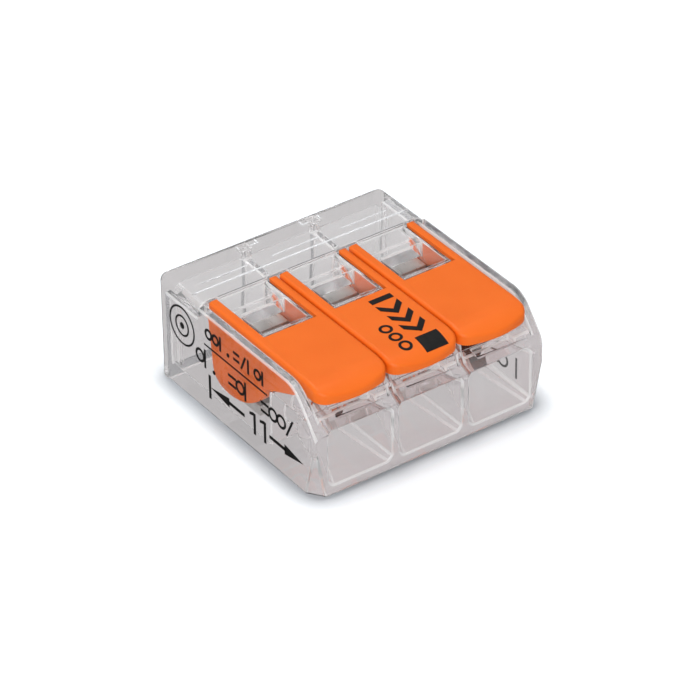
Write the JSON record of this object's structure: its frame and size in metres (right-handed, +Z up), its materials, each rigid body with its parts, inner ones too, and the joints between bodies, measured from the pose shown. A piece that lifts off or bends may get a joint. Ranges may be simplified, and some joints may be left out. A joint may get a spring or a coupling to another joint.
{
  "type": "lever wire connector",
  "caption": "Compact clear-bodied splicing connector: hinged levers open spring clamps that hold bared wires against a shared busbar.",
  "frame": {"origin": "centre of the bottom face of the closed connector", "axes": "+X across the poles to the right seen from the wire entries, +Y from the wire entries to the closed back, +Z up"},
  "size_m": [0.0186, 0.0186, 0.0082],
  "materials": {
    "clear_shell": "clear, moulded, polished",
    "lever_plastic": "satin moulded",
    "tinned_copper": "tinned, satin",
    "spring_steel": "rolled stainless strip"
  },
  "bodies": {
    "housing": {"housing_base": "clear_shell", "rear_cover": "clear_shell", "busbar": "tinned_copper", "clamp_spring_1": "spring_steel", "clamp_spring_2": "spring_steel", "clamp_spring_3": "spring_steel"},
    "lever_1": {"lever_1": "lever_plastic"},
    "clamp_leg_1": {"clamp_leg_1": "spring_steel"},
    "lever_2": {"lever_2": "lever_plastic"},
    "clamp_leg_2": {"clamp_leg_2": "spring_steel"},
    "lever_3": {"lever_3": "lever_plastic"},
    "clamp_leg_3": {"clamp_leg_3": "spring_steel"}
  },
  "joints": [
    {"name": "lever_1_hinge", "type": "hinge", "parent": "housing", "child": "lever_1", "pos_m": [-0.0057, 0.00145, 0.00555], "axis": [-1, 0, 0], "range_deg": [0, 90]},
    {"name": "clamp_1_flex", "type": "hinge", "parent": "housing", "child": "clamp_leg_1", "pos_m": [-0.0057, -0.0026, 0.0053], "axis": [1, 0, 0], "range_deg": [0, 32]},
    {"name": "lever_2_hinge", "type": "hinge", "parent": "housing", "child": "lever_2", "pos_m": [0, 0.00145, 0.00555], "axis": [-1, 0, 0], "range_deg": [0, 90]},
    {"name": "clamp_2_flex", "type": "hinge", "parent": "housing", "child": "clamp_leg_2", "pos_m": [0, -0.0026, 0.0053], "axis": [1, 0, 0], "range_deg": [0, 32]},
    {"name": "lever_3_hinge", "type": "hinge", "parent": "housing", "child": "lever_3", "pos_m": [0.0057, 0.00145, 0.00555], "axis": [-1, 0, 0], "range_deg": [0, 90]},
    {"name": "clamp_3_flex", "type": "hinge", "parent": "housing", "child": "clamp_leg_3", "pos_m": [0.0057, -0.0026, 0.0053], "axis": [1, 0, 0], "range_deg": [0, 32]}
  ],
  "couplings": [
    {"joint": "clamp_1_flex", "follows": "lever_1_hinge", "ratio": 0.35556},
    {"joint": "clamp_2_flex", "follows": "lever_2_hinge", "ratio": 0.35556},
    {"joint": "clamp_3_flex", "follows": "lever_3_hinge", "ratio": 0.35556}
  ]
}
